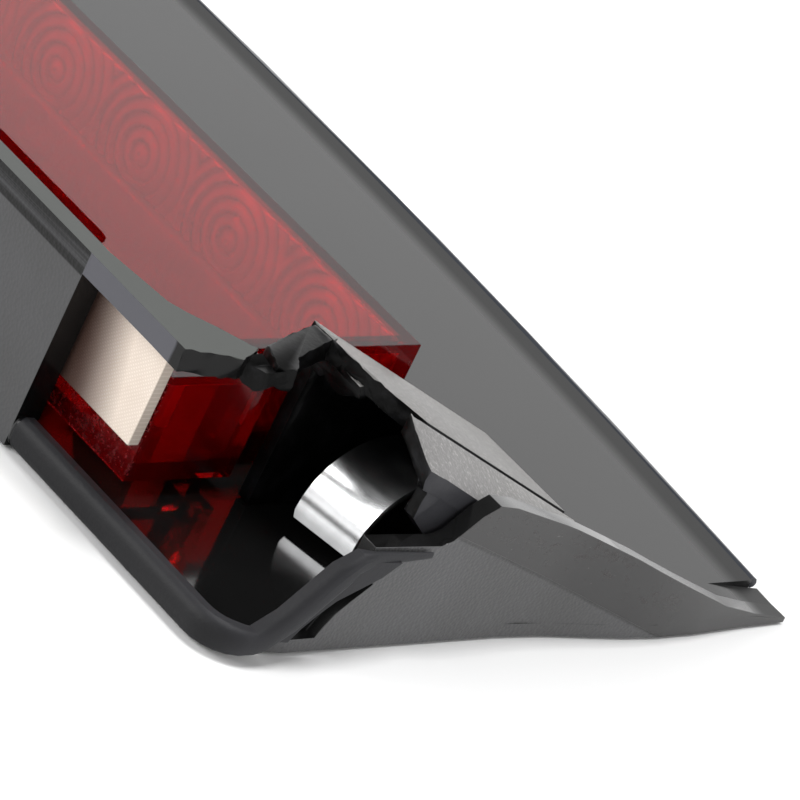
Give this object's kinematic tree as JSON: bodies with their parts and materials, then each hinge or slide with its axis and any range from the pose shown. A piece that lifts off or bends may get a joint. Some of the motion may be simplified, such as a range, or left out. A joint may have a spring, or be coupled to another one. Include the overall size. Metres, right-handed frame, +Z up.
{
  "type": "third brake light",
  "caption": "High-mounted rear brake lamp: a wedge-shaped black shroud holding a red lens over a lamp board, with a spring clip pocket at each end.",
  "frame": {"origin": "centre of the bounding box at the level of the flat base", "axes": "+X along the lamp, the mirror axis and longest extent; +Y the way the light leaves, towards the low front edge; +Z up from the base to the open side"},
  "size_m": [0.3004, 0.1098, 0.026],
  "materials": {
    "shroud_plastic": "fine-grained black moulded plastic, smooth and satin on the inside face",
    "carrier_plastic": "fine-grained black moulded plastic with glossy scuffed edges",
    "guard_plastic": "dusty matt black moulded plastic",
    "seal_rubber": "soft satin black lip",
    "lens_red": "clear red moulded plastic with concentric ring optics, glossy",
    "reflector_white": "white moulded plastic",
    "board_laminate": "bare cream glass-fibre laminate with visible weave",
    "led_package": "white lamp package with a clear dome",
    "component_black": "moulded component body",
    "component_metal": "bright can",
    "screw_zinc": "zinc-plated steel",
    "spring_steel": "bright rolled spring strip with fine scratches",
    "socket_plastic": "smooth black moulded plastic",
    "contact_tin": "tinned contact"
  },
  "bodies": {
    "housing": {"board_screw_1": "screw_zinc", "board_screw_2": "screw_zinc", "board_screw_3": "screw_zinc", "board_screw_4": "screw_zinc", "capacitor": "component_metal", "carrier": "carrier_plastic", "circuit_board": "board_laminate", "clip_foot_left": "spring_steel", "clip_foot_right": "spring_steel", "clip_screw_left": "screw_zinc", "clip_screw_right": "screw_zinc", "connector_pin_1": "contact_tin", "connector_pin_2": "contact_tin", "connector_socket": "socket_plastic", "cover": "shroud_plastic", "diode": "component_black", "edge_seal": "seal_rubber", "guard_left": "guard_plastic", "guard_right": "guard_plastic", "led_1": "led_package", "led_10": "led_package", "led_11": "led_package", "led_12": "led_package", "led_2": "led_package", "led_3": "led_package", "led_4": "led_package", "led_5": "led_package", "led_6": "led_package", "led_7": "led_package", "led_8": "led_package", "led_9": "led_package", "lens": "lens_red", "reflector": "reflector_white", "regulator": "component_black", "resistor_1": "component_black", "resistor_2": "component_black", "resistor_3": "component_black", "resistor_4": "component_black", "resistor_5": "component_black"},
    "clip_right": {"clip_leaf_right": "spring_steel"},
    "clip_left": {"clip_leaf_left": "spring_steel"}
  },
  "joints": [
    {"name": "clip_flex_right", "type": "hinge", "parent": "housing", "child": "clip_right", "pos_m": [0.1322, 0.0001, 0.0049], "axis": [-1, 0, 0], "range_deg": [0, 8], "stiffness_Nm_per_rad": 0.06},
    {"name": "clip_flex_left", "type": "hinge", "parent": "housing", "child": "clip_left", "pos_m": [-0.1322, 0.0001, 0.0049], "axis": [-1, 0, 0], "range_deg": [0, 8], "stiffness_Nm_per_rad": 0.06}
  ]
}
